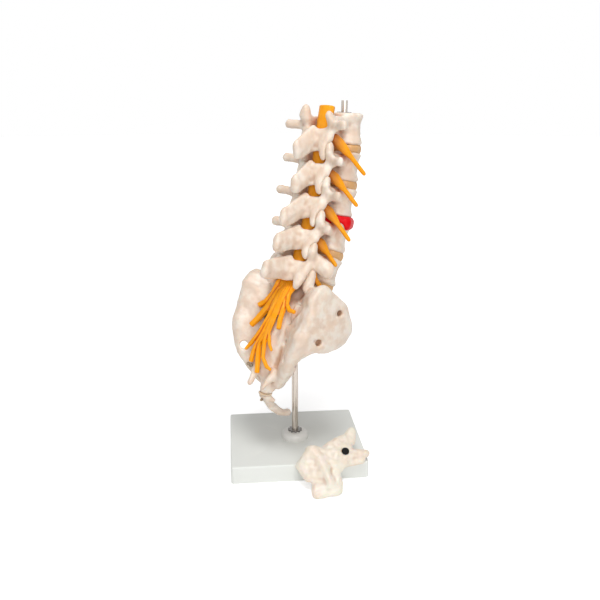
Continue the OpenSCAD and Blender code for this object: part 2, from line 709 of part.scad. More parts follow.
// Loose crest, in the plane in which it leans on the front edge of the plate
crest_lean = 33;
module at_crest() {
    translate([25, -base_d / 2, base_t]) rotate([crest_lean, 0, 0])
        translate([0, 0, crest_t / 2 + 0.1]) children();
}
module crest_limb(list) {
    sx = crest_len / 76;
    sy = crest_w / 60;
    hull()
        for (a = list)
            blob([a[0] * sx, a[1] * sy, a[2], a[3], a[4], a[5] * crest_t / 6]);
}
module sacral_crest() {
    color("ivory")
        difference() {
            at_crest() difference() {
                union() {
                    crest_limb([[-25, -3, 0, 8, 8, 4], [-15, 10, 2, 7, 7, 6], [-19, -14, 0, 7, 7, 3.6],
                        [-2, 4, 2, 8, 9, 5.6], [-4, -12, 1, 8, 10, 4.6]]);
                    crest_limb([[-2, 5, 2, 8, 9, 5.6], [9, 12, 2, 8, 10, 5.4], [20, 17, 1, 6, 9, 4.4],
                        [20, 4, 0, 6, 9, 4], [8, -4, 1, 9, 9, 5]]);
                    crest_limb([[17, 18, 0.5, 7, 8, 4], [26, 22, 0, 5, 7, 3.6], [28, 31, 0, 4.6, 5.4, 3.4]]);
                    crest_limb([[20, 6, 0, 6, 8, 4], [30, 6, 0, 5, 6, 4], [38, 7, 0, 5.4, 5, 4.4]]);
                    crest_limb([[22, 0, -0.5, 6, 6.5, 3.4], [33, -0.6, -0.5, 4.8, 4.4, 3.4]]);
                    crest_limb([[-8, -10, 0, 10, 8, 4], [6, -12, 0, 6, 8, 3.8], [-13, -34, 0, 5, 5.4, 3.2],
                        [6, -30, 0, 5.6, 5.4, 3]]);
                    crest_limb([[-14, 11, 4, 5, 5, 5], [-5, -5, 5, 4, 8, 4], [0, -22, 3, 4, 6, 2.6]]);
                    crest_limb([[4, 15, 3, 5, 5, 5], [19, 22, 2, 5, 5, 4]]);
                }
                translate([17.5, 7.5, 2]) cylinder(d = magnet_d + 2 * seat_gap, h = 20, $fn = 20);
            }
            translate([-200, -base_d / 2 - seat_gap, base_t - 60 + seat_gap]) cube([400, 200, 60]);
            translate([-200, -200, -60]) cube([400, 400, 60]);
        }
}
module crest_magnet() {
    color("black") at_crest() translate([17.5, 7.5, 2 + seat_gap]) cylinder(d = magnet_d, h = 3.4, $fn = 32);
}

base_plate();
rod_collar();
lower_lock_washer();
support_rod();
upper_lock_washer();
vertebra_l1();
vertebra_l2();
vertebra_l3();
vertebra_l4();
vertebra_l5();
disc_l1_l2();
disc_l2_l3();
disc_l3_l4();
disc_l4_l5();
disc_l5_s1();
sacrum();
crest_catch();
sacral_crest();
crest_magnet();
coccyx_disc();
coccyx();
coccyx_screw();
dura_mater();
cauda_equina();
nerve_l1_right();
nerve_l2_right();
nerve_l3_right();
nerve_l4_right();
nerve_l5_right();
nerve_l1_left();
nerve_l2_left();
nerve_l3_left();
nerve_l4_left();
nerve_l5_left();
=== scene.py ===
"""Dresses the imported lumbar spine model: smooth cast bones, soft discs and nerves, stand and studio."""

import json
import math

import bmesh
import bpy
import numpy as np
from mathutils import Matrix, Vector, bvhtree, noise

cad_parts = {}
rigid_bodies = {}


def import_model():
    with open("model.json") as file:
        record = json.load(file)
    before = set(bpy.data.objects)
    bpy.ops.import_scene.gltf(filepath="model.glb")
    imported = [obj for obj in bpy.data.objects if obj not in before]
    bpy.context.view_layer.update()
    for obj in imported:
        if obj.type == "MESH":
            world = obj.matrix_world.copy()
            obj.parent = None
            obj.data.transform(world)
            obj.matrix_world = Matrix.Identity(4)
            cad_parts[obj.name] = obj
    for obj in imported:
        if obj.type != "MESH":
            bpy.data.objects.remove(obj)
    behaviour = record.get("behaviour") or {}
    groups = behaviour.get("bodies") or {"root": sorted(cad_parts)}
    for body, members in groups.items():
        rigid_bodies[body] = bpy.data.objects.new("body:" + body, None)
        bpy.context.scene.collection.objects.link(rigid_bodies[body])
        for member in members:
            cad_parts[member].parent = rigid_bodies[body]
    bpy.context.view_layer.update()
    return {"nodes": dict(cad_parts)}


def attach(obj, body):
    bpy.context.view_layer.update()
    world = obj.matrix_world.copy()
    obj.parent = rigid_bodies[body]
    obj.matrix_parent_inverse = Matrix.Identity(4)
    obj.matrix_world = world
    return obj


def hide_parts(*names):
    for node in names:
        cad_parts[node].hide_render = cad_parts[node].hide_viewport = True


bl_info = {
    "name": "Lumbar spine model",
    "version": (1, 0, 0),
    "blender": (4, 5, 0),
    "location": "3D View > Sidebar > Spine",
    "description": "Dresses a packed lumbar spine teaching model and sets its studio",
    "category": "Object",
}

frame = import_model()

VERTEBRAE = ["vertebra_l1", "vertebra_l2", "vertebra_l3", "vertebra_l4", "vertebra_l5"]
SACRAL_BONES = ["sacrum", "coccyx"]
TAN_DISCS = ["disc_l1_l2", "disc_l2_l3", "disc_l4_l5", "disc_l5_s1"]
NERVES = [f"nerve_l{level}_{side}" for side in ("right", "left") for level in range(1, 6)]

# One millimetre, in metres
MM = 0.001

# The sacrum's own frame, in metres: x across, y to the front, z along its length, as in the part's source
SACRAL_FRAME = (Matrix.Rotation(math.radians(-50), 4, "Z") @ Matrix.Translation((0, 0.02348, 0.16589))
                @ Matrix.Rotation(math.radians(-42), 4, "X"))

# Centre lines of the nine strands of the fan in that frame, in millimetres, from the trunk outwards
STRANDS = [
    [(-9, -31, 8), (-8, -31, -4), (-11.4, -31.4, -14), (-12.6, -29.4, -24.6), (-16.6, -28.6, -34),
     (-24.3, -27.6, -39.2)],
    [(-6.6, -32, 8), (-5.6, -32, -18), (-8, -30.4, -29), (-12.6, -28, -40), (-18.6, -25.6, -51.6),
     (-23.4, -24.8, -60)],
    [(-4.4, -33, 8), (-3, -32, -20), (-3, -30.6, -34), (-4.7, -27.6, -47.2), (-9.5, -23, -61.3),
     (-18, -18, -74.2), (-22.6, -16.4, -82)],
    [(-2.2, -33.4, 8), (-1.2, -32.6, -20), (-3.4, -26.6, -50), (-5.4, -23.6, -61), (-10.7, -18.4, -72.5),
     (-13.6, -14, -81.8), (-14.5, -9.8, -90)],
    [(0, -33.6, 8), (0.6, -33, -20), (-1, -26.4, -50), (-4, -23.4, -60), (-8, -17.9, -73.7),
     (-5.8, -11.8, -86.1), (-2.7, -7.4, -97.6)],
    [(2.2, -33.4, 8), (2.6, -33, -20), (1.3, -27, -46), (1, -24.4, -57), (-1.5, -19.5, -70.7),
     (0.8, -13.8, -83.2), (7.6, -10.4, -89.4), (13, -9.6, -90.6)],
    [(4.4, -33, 8), (4.4, -32.4, -20), (2.4, -28.4, -40), (2.6, -26.6, -50), (1.4, -23, -62),
     (5.7, -20, -70.6), (10.6, -18, -75.4)],
    [(6.6, -32, 8), (5.6, -32, -10), (5, -30.6, -24), (8.3, -29.4, -34.3), (9, -27, -46.4),
     (11.4, -25, -55.6)],
    [(9, -31, 8), (7.6, -32, -10), (7.4, -31.4, -22.4), (10.4, -30, -31.7), (16.4, -29.6, -36.6),
     (22.8, -28.8, -36.6)],
]
# A groove between two strands ends where one of them is nearer than the other by this much, in metres
STRAND_WIDTH = 0.0026

# Knobs and dents on the sacrum in its own frame: place, radius and height in millimetres
SACRAL_MARKS = [
    (44, -33, -40, 3.4, 1.6), (47, -31, -46, 3.0, 1.4), (48, -27, -55, 3.6, 1.5), (49, -33, -36, 3.4, 1.2),
    (44, -40, -28, 3.6, 1.2), (40, -34, -60, 4.0, 1.0), (51, -19, -38, 5.0, -0.9), (52, -4, -34, 8.0, 1.2),
    (-36, -33, -40, 6.0, 1.2), (-35, -27, -66, 7.0, 1.0), (-28, -32, -50, 4.0, -0.8),
    (-40, -24, -54, 5.0, 0.8), (54.9, -9.2, -19.6, 4.2, -2.4), (50.9, -14.9, -53.2, 4.0, -2.2),
    (14, -20, -27, 7.0, 3.6), (15.5, -18, -36, 7.0, 3.6), (16, -15, -46, 7.0, 3.4), (-8, -4, -108, 3.0, 0.8),
    (28, -30, -44, 4.0, 1.0), (22, -26, -60, 3.6, 1.0), (-30, -33, -28, 4.0, 0.8),
]

# The shallow seat of the upper washer in the first vertebra: radius and height in millimetres
WASHER_SEAT = (7, -1.0)

# Soft bumps of the bones: grain size in metres and height as a share of the relief setting
BONE_RELIEF = [(0.016, 1.0), (0.008, 0.8), (0.0036, 0.4)]
CREST_RELIEF_SHARE = 1.9
SEED_STEP = 3.1

# The sacrum, the coccyx and the loose crest keep more of their creases than the vertebrae, and swell less
SACRAL_CREASE_SHARE = 0.35
SACRAL_SWELL = 0.0001

# Skins of the soft pieces, in metres
SOFT_VOXEL = 0.0006
FAN_VOXEL = 0.0005
NERVE_CREASE = 0.0006
BULGE_CREASE = 0.0012
NERVE_RELIEF = [(0.006, 0.0002)]
NERVE_SEED = 1.3

# Broken edges of the small metal pieces, in metres
WASHER_EDGE = 0.00012
CATCH_EDGE = 0.00015
SCREW_EDGE = 0.0002
MAGNET_EDGE = 0.0003

# The tint where bones and nerves come close, which is painted light and shade, and the metals, whose rims
# mirror a tint of their own
# Painted orange bounce light from the nerves on the bones, and painted shade on the nerves and the dural sac
# near the bones and at the roots
BOUNCE_AND_SHADE_TINT = (0.50, 0.15, 0.05)
STEEL = (0.36, 0.28, 0.19)
MAGNET = (0.004, 0.004, 0.004)
ROD_RIM = (0.3, 0.22, 0.16)
MAGNET_RIM = (0.2, 0.2, 0.2)

# Least height of what lies on the table, in metres
TABLE_GAP = 0.0001

# The studio, in metres. The floor's glow grows from GLOW_FROM to GLOW_TO away from the middle
FLOOR_RADIUS = 6.0
GLOW_FROM = 0.15
GLOW_TO = 1.6
KEY_PLACE = (0.0, -0.4, 1.25)
KEY_SIZE = 0.45
FILL_PLACE = (0.1, -1.35, 0.55)
FILL_SIZE = 1.0
LIGHTS_AIM = Vector((0, 0, 0.17))


# Mesh work

def vertices_of(mesh):
    points = np.zeros(len(mesh.vertices) * 3)
    mesh.vertices.foreach_get("co", points)
    return points.reshape(-1, 3)


def normals_of(mesh):
    normals = np.zeros(len(mesh.vertices) * 3)
    mesh.vertices.foreach_get("normal", normals)
    return normals.reshape(-1, 3)


def edges_of(mesh):
    edges = np.zeros(len(mesh.edges) * 2, np.int32)
    mesh.edges.foreach_get("vertices", edges)
    return edges.reshape(-1, 2)


def set_vertices(mesh, points):
    mesh.vertices.foreach_set("co", points.astype(np.float32).ravel())
    mesh.update()


def relaxed(points, edges, rounds):
    """Each value moves half way to the mean of its neighbours, round by round."""
    count = np.bincount(edges.ravel(), minlength=len(points))[:, None]
    for _ in range(rounds):
        total = np.stack([
            np.bincount(edges[:, 0], points[edges[:, 1], k], len(points))
            + np.bincount(edges[:, 1], points[edges[:, 0], k], len(points))
            for k in range(points.shape[1])], axis=1)
        points = points + 0.5 * (total / count - points)
    return points


def even_skin(piece, voxel):
    """Covers a piece with one even skin of small quads."""
    skin = piece.modifiers.new("skin", "REMESH")
    skin.mode = "VOXEL"
    skin.voxel_size = voxel
    depsgraph = bpy.context.evaluated_depsgraph_get()
    mesh = bpy.data.meshes.new_from_object(piece.evaluated_get(depsgraph))
    piece.modifiers.clear()
    piece.data = mesh
    mesh.shade_smooth()


def copy_of(node, prefix):
    """A new piece with a copy of a CAD node's mesh."""
    piece = bpy.data.objects.new(prefix + node, frame["nodes"][node].data.copy())
    bpy.context.scene.collection.objects.link(piece)
    return piece


def remeshed(node, voxel, crease=0.0):
    """A copy of a CAD node in an even skin, with the sharp creases between its forms filled."""
    piece = copy_of(node, "cast_")
    piece.data.materials.clear()
    even_skin(piece, voxel)
    for step in (crease, -crease):
        if step:
            mesh = piece.data
            way = relaxed(normals_of(mesh), edges_of(mesh), rounds=2)
            way /= np.linalg.norm(way, axis=1)[:, None] + 1e-9
            set_vertices(mesh, vertices_of(mesh) + step * way)
            even_skin(piece, voxel)
    return piece


def soften(mesh, rounds, swell=0.0):
    """Rounds the facets off and gives back the volume that this takes."""
    points, edges = vertices_of(mesh), edges_of(mesh)
    smooth = relaxed(points, edges, rounds)
    smooth += relaxed(points - smooth, edges, rounds)
    set_vertices(mesh, smooth)
    if swell:
        set_vertices(mesh, smooth + swell * normals_of(mesh))


def store_values(mesh, name, values):
    """Keeps one number for each point, which the materials read by its name."""
    layer = mesh.attributes.new(name, "FLOAT", "POINT")
    layer.data.foreach_set("value", values.astype(np.float32))


def store_hollows(mesh, rounds, depth):
    """Keeps how deep each point lies below its surroundings, for the painted shade in the hollows, on the
    bones partly the cast's own antiqued tone.
    """
    points, edges = vertices_of(mesh), edges_of(mesh)
    below = ((relaxed(points, edges, rounds) - points) * normals_of(mesh)).sum(axis=1)
    below = relaxed(below[:, None], edges, rounds=3)[:, 0]
    store_values(mesh, "hollow", np.clip(0.5 + below / depth, 0, 1))


def store_tint(mesh, neighbours):
    """Keeps how near each point lies to other pieces, for the painted light and shade near them. Each
    neighbour is a list of pieces and a reach.
    """
    points = vertices_of(mesh)
    warm = np.zeros(len(points))
    for pieces, reach in neighbours:
        places, faces = [], []
        for piece in pieces:
            first = len(places)
            places += [vertex.co.copy() for vertex in piece.data.vertices]
            faces += [[first + number for number in face.vertices] for face in piece.data.polygons]
        tree = bvhtree.BVHTree.FromPolygons(places, faces)
        found = [tree.find_nearest(Vector(point), reach)[3] for point in points]
        gap = np.array([reach if far is None else far for far in found])
        warm = np.maximum(warm, 1 - gap / reach)
    store_values(mesh, "warm", relaxed(warm[:, None], edges_of(mesh), rounds=4)[:, 0])


def relief(mesh, terms, seed):
    """Pushes the skin in and out by soft noise. Each term is a grain size and a height."""
    points, normals = vertices_of(mesh), normals_of(mesh)
    offset = Vector((seed, 1.7 * seed, 0.3))
    shift = np.zeros(len(points))
    for size, height in terms:
        shift += height * np.array([noise.noise(Vector(point) / size + offset) for point in points])
    set_vertices(mesh, points + shift[:, None] * normals)


def knobs(mesh, frame_of, marks):
    """Raises or sinks soft spots. A mark is a place in its own frame, a radius and a height, in mm."""
    points, normals = vertices_of(mesh), normals_of(mesh)
    shift = np.zeros(len(points))
    for x, y, z, radius, height in marks:
        centre = np.array(frame_of @ Vector((x * MM, y * MM, z * MM)))
        far = np.linalg.norm(points - centre, axis=1) / (radius * MM)
        shift += height * MM * np.exp(-far ** 2)
    set_vertices(mesh, points + shift[:, None] * normals)


def strand_grooves(mesh, depth, width):
    """Sinks the skin of the fan where two of its strands lie side by side."""
    points, normals = vertices_of(mesh), normals_of(mesh)
    near = np.full((len(STRANDS), len(points)), 1.0)
    for number, route in enumerate(STRANDS):
        line = [np.array(SACRAL_FRAME @ Vector((x * MM, y * MM, z * MM))) for x, y, z in route]
        for start, end in zip(line, line[1:]):
            way = end - start
            along = np.clip((points - start) @ way / (way @ way), 0, 1)
            gap = np.linalg.norm(points - start - along[:, None] * way, axis=1)
            near[number] = np.minimum(near[number], gap)
    near.sort(axis=0)
    between = np.clip(1 - (near[1] - near[0]) / width, 0, 1)
    set_vertices(mesh, points - (depth * between ** 1.5)[:, None] * normals)


def stand_clear(mesh):
    """Keeps a piece that lies on the table from sinking into it."""
    points = vertices_of(mesh)
    points[:, 2] = np.maximum(points[:, 2], TABLE_GAP)
    set_vertices(mesh, points)


def dress(piece, nodes, finish):
    """Makes a piece stand for its CAD nodes, with its finish."""
    piece.data.materials.clear()
    piece.data.materials.append(finish)
    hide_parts(*nodes)
    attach(piece, "root")


def turned_piece(node, finish, bevel=0.0, angle=35.0):
    """Dresses a copy of an exact CAD node with smooth walls and softly broken edges."""
    piece = copy_of(node, "fine_")
    work = bmesh.new()
    work.from_mesh(piece.data)
    bmesh.ops.remove_doubles(work, verts=work.verts, dist=1e-6)
    bmesh.ops.dissolve_limit(work, angle_limit=math.radians(0.5), verts=work.verts, edges=work.edges)
    if bevel:
        inner = [edge for edge in work.edges if len(edge.link_faces) == 2]
        sharp = [edge for edge in inner if edge.calc_face_angle(0) > math.radians(angle)]
        bmesh.ops.bevel(work, geom=sharp, offset=bevel, segments=3, affect="EDGES", profile=0.5,
                        clamp_overlap=True)
    work.to_mesh(piece.data)
    work.free()
    piece.data.shade_smooth()
    piece.data.set_sharp_from_angle(angle=math.radians(angle))
    dress(piece, [node], finish)


# Shader nodes

def add(tree, kind, **values):
    node = tree.nodes.new(kind)
    for key, value in values.items():
        setattr(node, key, value)
    return node


def feed(tree, socket, value):
    """Links a socket to another node, or sets it to a plain value."""
    if isinstance(value, bpy.types.NodeSocket):
        tree.links.new(value, socket)
    else:
        socket.default_value = value


def noise_node(tree, place, scale, detail, roughness=0.5):
    node = add(tree, "ShaderNodeTexNoise")
    for name, value in (("Vector", place), ("Scale", scale), ("Detail", detail), ("Roughness", roughness)):
        feed(tree, node.inputs[name], value)
    return node.outputs["Fac"]


def remap(tree, value, low, high, to_low=0.0, to_high=1.0):
    node = add(tree, "ShaderNodeMapRange", interpolation_type="SMOOTHSTEP")
    for name, number in (("Value", value), ("From Min", low), ("From Max", high),
                         ("To Min", to_low), ("To Max", to_high)):
        feed(tree, node.inputs[name], number)
    return node.outputs["Result"]


def mix_colour(tree, factor, one, other):
    """A mix of two colours. They are the node's sockets 6 and 7, and its colour output is number 2."""
    node = add(tree, "ShaderNodeMix", data_type="RGBA")
    for number, value in ((0, factor), (6, one), (7, other)):
        feed(tree, node.inputs[number], value)
    return node.outputs[2]


def calculate(tree, operation, one, other):
    node = add(tree, "ShaderNodeMath", operation=operation)
    feed(tree, node.inputs[0], one)
    feed(tree, node.inputs[1], other)
    return node.outputs[0]


def group_input(group, name, kind, default, low=None, high=None):
    socket = group.interface.new_socket(name, in_out="INPUT", socket_type=kind)
    socket.default_value = default
    if low is not None:
        socket.min_value, socket.max_value = low, high


def seen_or_mirrored(tree):
    """One where the camera, a reflection or a clear piece shows the surroundings, nought for their light."""
    paths = add(tree, "ShaderNodeLightPath").outputs
    seen = calculate(tree, "MAXIMUM", paths["Is Camera Ray"], paths["Is Glossy Ray"])
    return calculate(tree, "MAXIMUM", seen, paths["Is Transmission Ray"])


# Materials

def cast_group():
    """Clouded colour, painted shade in the hollows, painted light and shade near other pieces, and fine grain
    of cast plastic: Colour and Height.
    """
    group = bpy.data.node_groups.get("cast_plastic")
    if group:
        return group
    group = bpy.data.node_groups.new("cast_plastic", "ShaderNodeTree")
    group_input(group, "Base", "NodeSocketColor", (0.8, 0.8, 0.8, 1))
    group_input(group, "Cloud", "NodeSocketColor", (0.7, 0.7, 0.7, 1))
    group_input(group, "Stain", "NodeSocketColor", (0.7, 0.7, 0.7, 1))
    # Hollow is the colour of the painted shade in the hollows, Warm that of the painted light and shade near
    # other pieces
    group_input(group, "Hollow", "NodeSocketColor", (0.5, 0.4, 0.3, 1))
    group_input(group, "Warm", "NodeSocketColor", (0.5, 0.2, 0.1, 1))
    group_input(group, "Hollow strength", "NodeSocketFloat", 0.5, 0.0, 1.0)
    group_input(group, "Cloud scale", "NodeSocketFloat", 60.0, 1.0, 2000.0)
    group_input(group, "Grain scale", "NodeSocketFloat", 900.0, 10.0, 20000.0)
    group.interface.new_socket("Colour", in_out="OUTPUT", socket_type="NodeSocketColor")
    group.interface.new_socket("Height", in_out="OUTPUT", socket_type="NodeSocketFloat")
    given = add(group, "NodeGroupInput").outputs
    result = add(group, "NodeGroupOutput").inputs
    place = add(group, "ShaderNodeTexCoord").outputs["Object"]

    # Each layer fades in over the part of its noise or stored value that its two numbers give
    patches = noise_node(group, place, scale=22.0, detail=2.0)
    colour = mix_colour(group, remap(group, patches, 0.45, 0.75), given["Base"], given["Stain"])
    clouds = noise_node(group, place, given["Cloud scale"], detail=4.0, roughness=0.55)
    colour = mix_colour(group, remap(group, clouds, 0.38, 0.68), colour, given["Cloud"])
    # Painted shade in the hollows, on the bones partly the cast's own antiqued tone
    hollow = add(group, "ShaderNodeAttribute", attribute_name="hollow").outputs["Fac"]
    shade_and_dirt = calculate(group, "MULTIPLY", remap(group, hollow, 0.5, 0.9), given["Hollow strength"])
    colour = mix_colour(group, shade_and_dirt, colour, given["Hollow"])
    # Painted light and shade near other pieces: orange bounce light from the nerves on the bones, shade on
    # the nerves and the dural sac
    near = add(group, "ShaderNodeAttribute", attribute_name="warm").outputs["Fac"]
    colour = mix_colour(group, remap(group, near, 0.2, 0.8, 0.0, 0.9), colour, given["Warm"])
    grain = noise_node(group, place, given["Grain scale"], detail=3.0, roughness=0.6)
    group.links.new(colour, result["Colour"])
    group.links.new(grain, result["Height"])
    return group


def cast_material(name, base, cloud, stain, hollow, *, strength, cloud_scale, grain_scale, roughness, bump,
                  subsurface=0.0, coat=0.0, shine=0.5):
    """A cast or soft plastic with clouded colour, painted shade in the hollows, painted light and shade near
    other pieces, and a fine grain.
    """
    material = bpy.data.materials.new(name)
    material.use_nodes = True
    tree = material.node_tree
    shader = tree.nodes["Principled BSDF"].inputs
    group = add(tree, "ShaderNodeGroup", node_tree=cast_group())
    for key, colour in (("Base", base), ("Cloud", cloud), ("Stain", stain), ("Hollow", hollow),
                        ("Warm", BOUNCE_AND_SHADE_TINT)):
        group.inputs[key].default_value = (*colour, 1)
    for key, value in (("Hollow strength", strength), ("Cloud scale", cloud_scale),
                       ("Grain scale", grain_scale)):
        group.inputs[key].default_value = value
    grain = group.outputs["Height"]
    tree.links.new(group.outputs["Colour"], shader["Base Color"])
    tree.links.new(remap(tree, grain, 0.3, 0.7, roughness - 0.06, roughness + 0.06), shader["Roughness"])
    height = add(tree, "ShaderNodeBump")
    height.inputs["Strength"].default_value = 0.35
    height.inputs["Distance"].default_value = bump
    tree.links.new(grain, height.inputs["Height"])
    tree.links.new(height.outputs["Normal"], shader["Normal"])
    shader["Subsurface Weight"].default_value = subsurface
    shader["Subsurface Radius"].default_value = (1.0, 0.6, 0.35)
    shader["Subsurface Scale"].default_value = 0.003
    shader["Specular IOR Level"].default_value = shine
    shader["Coat Weight"].default_value = coat
    shader["Coat Roughness"].default_value = 0.2
    return material


def shaded(colour, factor, lift=0.0):
    """A darker or paler shade of a colour."""
    return [min(1, part * factor + lift) for part in colour]


def rubber_material(name, colour, cloud, stain, hollow):
    """The dull plastic of the plain discs and of the coccyx pad. The last three are shares of its colour, the
    last of them its painted shade in the hollows.
    """
    return cast_material(name, colour, shaded(colour, cloud), shaded(colour, stain), shaded(colour, hollow),
                         strength=0.5, cloud_scale=90.0, grain_scale=1500.0, roughness=0.45, bump=0.0002,
                         subsurface=0.15)


def moulded_material(name, colour, cloud_scale):
    """The even, slightly glossy plastic of the plate and its collar."""
    # The last colour is a painted shade for the hollows, which shows nowhere here, as the plate and the
    # collar keep no hollow values
    return cast_material(name, colour, shaded(colour, 1.02), shaded(colour, 0.985), shaded(colour, 0.8),
                         strength=0.2, cloud_scale=cloud_scale, grain_scale=2600.0, roughness=0.36,
                         bump=0.00006, coat=0.1)


def streak_group():
    """Fine streaks along the length of turned metal: Colour and Mask."""
    group = bpy.data.node_groups.get("metal_streaks")
    if group:
        return group
    group = bpy.data.node_groups.new("metal_streaks", "ShaderNodeTree")
    group_input(group, "Metal", "NodeSocketColor", (0.6, 0.6, 0.6, 1))
    group_input(group, "Dull", "NodeSocketColor", (0.5, 0.5, 0.5, 1))
    group.interface.new_socket("Colour", in_out="OUTPUT", socket_type="NodeSocketColor")
    group.interface.new_socket("Mask", in_out="OUTPUT", socket_type="NodeSocketFloat")
    given = add(group, "NodeGroupInput").outputs
    result = add(group, "NodeGroupOutput").inputs
    stretch = add(group, "ShaderNodeMapping")
    stretch.inputs["Scale"].default_value = (900, 900, 30)
    group.links.new(add(group, "ShaderNodeTexCoord").outputs["Object"], stretch.inputs["Vector"])
    streaks = noise_node(group, stretch.outputs["Vector"], scale=1.0, detail=2.0)
    group.links.new(mix_colour(group, streaks, given["Dull"], given["Metal"]), result["Colour"])
    group.links.new(streaks, result["Mask"])
    return group


def metal_material(name, colour, roughness, metallic=1.0, rim=(1, 1, 1)):
    """A metal whose gloss varies a little along its length."""
    material = bpy.data.materials.new(name)
    material.use_nodes = True
    tree = material.node_tree
    shader = tree.nodes["Principled BSDF"].inputs
    group = add(tree, "ShaderNodeGroup", node_tree=streak_group())
    group.inputs["Metal"].default_value = (*colour, 1)
    group.inputs["Dull"].default_value = (*shaded(colour, 0.9), 1)
    tree.links.new(group.outputs["Colour"], shader["Base Color"])
    gloss = remap(tree, group.outputs["Mask"], 0.3, 0.7, roughness - 0.05, roughness + 0.05)
    tree.links.new(gloss, shader["Roughness"])
    shader["Metallic"].default_value = metallic
    shader["Specular Tint"].default_value = (*rim, 1)
    return material


def floor_material(near_glow, far_glow):
    """A pale floor that keeps the shadow, and grows white away from the stand where it is seen."""
    material = bpy.data.materials.new("pale_floor")
    material.use_nodes = True
    tree = material.node_tree
    shader = tree.nodes["Principled BSDF"].inputs
    shader["Base Color"].default_value = (0.9, 0.9, 0.9, 1)
    shader["Roughness"].default_value = 0.8
    shader["Emission Color"].default_value = (1, 1, 1, 1)
    far = add(tree, "ShaderNodeVectorMath", operation="LENGTH")
    tree.links.new(add(tree, "ShaderNodeTexCoord").outputs["Object"], far.inputs[0])
    glow = remap(tree, far.outputs["Value"], GLOW_FROM, GLOW_TO, near_glow, far_glow)
    tree.links.new(calculate(tree, "MULTIPLY", seen_or_mirrored(tree), glow), shader["Emission Strength"])
    return material


# Settings

class SpineBoneSettings(bpy.types.PropertyGroup):
    """Skin and colours of the cast bones"""
    voxel: bpy.props.FloatProperty(
        name="Skin size", description="Side of the quads in the cast bones' skin",
        default=0.0008, min=0.0004, unit="LENGTH")
    crease: bpy.props.FloatProperty(
        name="Crease filling", description="How far the creases between a vertebra's forms are filled",
        default=0.0024, min=0.0, unit="LENGTH")
    rounds: bpy.props.IntProperty(
        name="Softening", description="Rounds that soften a vertebra's facets, and twice those of the others",
        default=32, min=0, max=60)
    swell: bpy.props.FloatProperty(
        name="Swell", description="How far the skin of the vertebrae stands proud, which closes their joints",
        default=0.0004, min=0.0, unit="LENGTH")
    relief: bpy.props.FloatProperty(
        name="Relief", description="Height of the soft bumps on the bones",
        default=0.0006, min=0.0, unit="LENGTH")
    colour: bpy.props.FloatVectorProperty(
        name="Bone", description="Main colour of the cast bones",
        subtype="COLOR", default=(0.76, 0.61, 0.49), min=0, max=1)
    cloud: bpy.props.FloatVectorProperty(
        name="Clouds", description="Paler colour clouded into the bones",
        subtype="COLOR", default=(0.85, 0.76, 0.66), min=0, max=1)
    stain: bpy.props.FloatVectorProperty(
        name="Stain", description="Browner colour in broad patches on the bones",
        subtype="COLOR", default=(0.73, 0.565, 0.44), min=0, max=1)
    # The colour of the painted shade in the hollows of the bones, partly their antiqued tone
    hollow: bpy.props.FloatVectorProperty(
        name="Hollows", description="Colour in the hollows of the bones",
        subtype="COLOR", default=(0.50, 0.29, 0.175), min=0, max=1)
    # The warm tint is painted bounce light and shade near the nerves and the dural sac
    tint_reach: bpy.props.FloatProperty(
        name="Tint reach", description="How far the warm tint reaches from the nerves",
        default=0.008, min=0.0005, unit="LENGTH")
    crest: bpy.props.FloatVectorProperty(
        name="Loose crest", description="Main colour of the loose crest",
        subtype="COLOR", default=(0.82, 0.775, 0.66), min=0, max=1)


class SpineSoftSettings(bpy.types.PropertyGroup):
    """Colours and shading of the nerves and the discs"""
    nerve: bpy.props.FloatVectorProperty(
        name="Nerves", description="Colour of the soft nerves",
        subtype="COLOR", default=(1.0, 0.385, 0.004), min=0, max=1)
    # The painted shade between the strands and in the other hollows of the nerves
    nerve_groove_shade: bpy.props.FloatVectorProperty(
        name="Nerve grooves", description="Colour between the strands",
        subtype="COLOR", default=(0.70, 0.13, 0.006), min=0, max=1)
    disc: bpy.props.FloatVectorProperty(
        name="Discs", description="Colour of the plain discs",
        subtype="COLOR", default=(0.62, 0.36, 0.15), min=0, max=1)
    pad: bpy.props.FloatVectorProperty(
        name="Coccyx pad", description="Colour of the pad above the coccyx",
        subtype="COLOR", default=(0.72, 0.57, 0.41), min=0, max=1)
    bulge: bpy.props.FloatVectorProperty(
        name="Bulging disc", description="Colour of the bulging disc",
        subtype="COLOR", default=(0.70, 0.001, 0.006), min=0, max=1)
    root_reach: bpy.props.FloatProperty(
        name="Root shade", description="How far from the dural sac the nerves are darker",
        default=0.022, min=0.001, unit="LENGTH")
    bone_reach: bpy.props.FloatProperty(
        name="Bone shade", description="How far from a vertebra the nerves and the dural sac are darker",
        default=0.006, min=0.0005, unit="LENGTH")
    strand_height: bpy.props.FloatProperty(
        name="Strand height", description="Depth of the grooves between the strands",
        default=0.0016, min=0.0, unit="LENGTH")


class SpineStandSettings(bpy.types.PropertyGroup):
    """Colours of the stand and the washers"""
    plate: bpy.props.FloatVectorProperty(
        name="Plate", description="Colour of the base plate",
        subtype="COLOR", default=(0.80, 0.815, 0.775), min=0, max=1)
    collar: bpy.props.FloatVectorProperty(
        name="Collar", description="Colour of the collar",
        subtype="COLOR", default=(0.80, 0.785, 0.75), min=0, max=1)
    edge: bpy.props.FloatProperty(
        name="Edge radius", description="Rounding of the plate's edges",
        default=0.0006, min=0.0, unit="LENGTH")
    rod: bpy.props.FloatVectorProperty(
        name="Rod", description="Tint of the polished rod",
        subtype="COLOR", default=(0.62, 0.56, 0.50), min=0, max=1)
    washer: bpy.props.FloatVectorProperty(
        name="Washers", description="Colour of the blackened washers",
        subtype="COLOR", default=(0.22, 0.21, 0.20), min=0, max=1)


